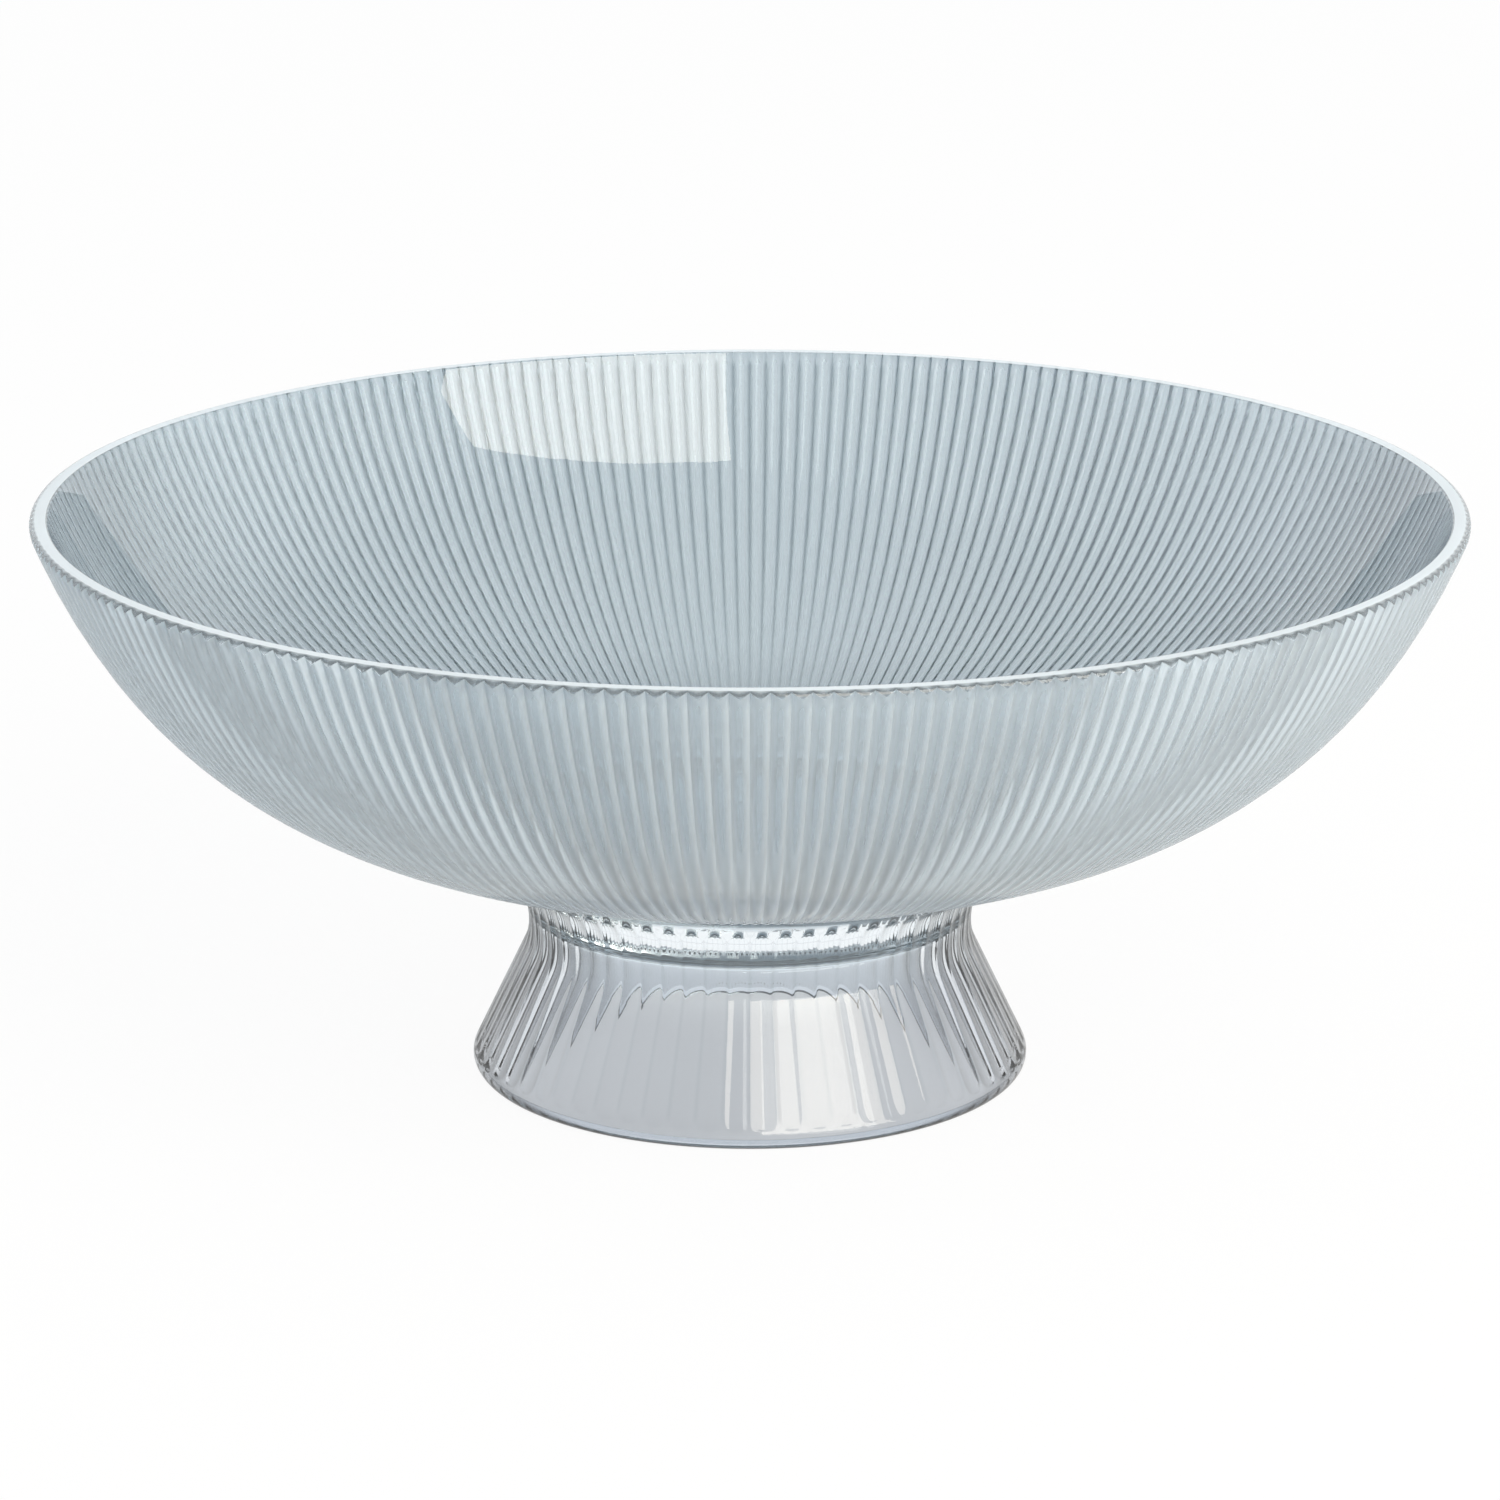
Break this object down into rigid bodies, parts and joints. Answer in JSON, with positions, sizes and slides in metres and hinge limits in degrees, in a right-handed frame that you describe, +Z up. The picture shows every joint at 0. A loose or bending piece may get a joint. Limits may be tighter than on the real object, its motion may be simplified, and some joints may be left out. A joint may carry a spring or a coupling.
{
  "type": "footed glass bowl",
  "caption": "Wide shallow glass bowl, smooth inside and finely reeded outside, bonded to a hollow, flared and fluted glass foot.",
  "frame": {"origin": "centre of the foot on the table, at the base of the object", "axes": "+Z up along the axis of the bowl and foot; X and Y are level, and the part looks alike from every side"},
  "size_m": [0.2998, 0.2998, 0.1233],
  "materials": {
    "bowl_glass": "clear pressed glass with a faint cool tint, polished inside, reeded outside",
    "foot_glass": "clear pressed glass with a faint cool tint, fire polished",
    "bond_film": "clear cured adhesive, glossy"
  },
  "bodies": {
    "root": {"bowl": "bowl_glass", "foot": "foot_glass", "bond_film": "bond_film"}
  },
  "joints": []
}
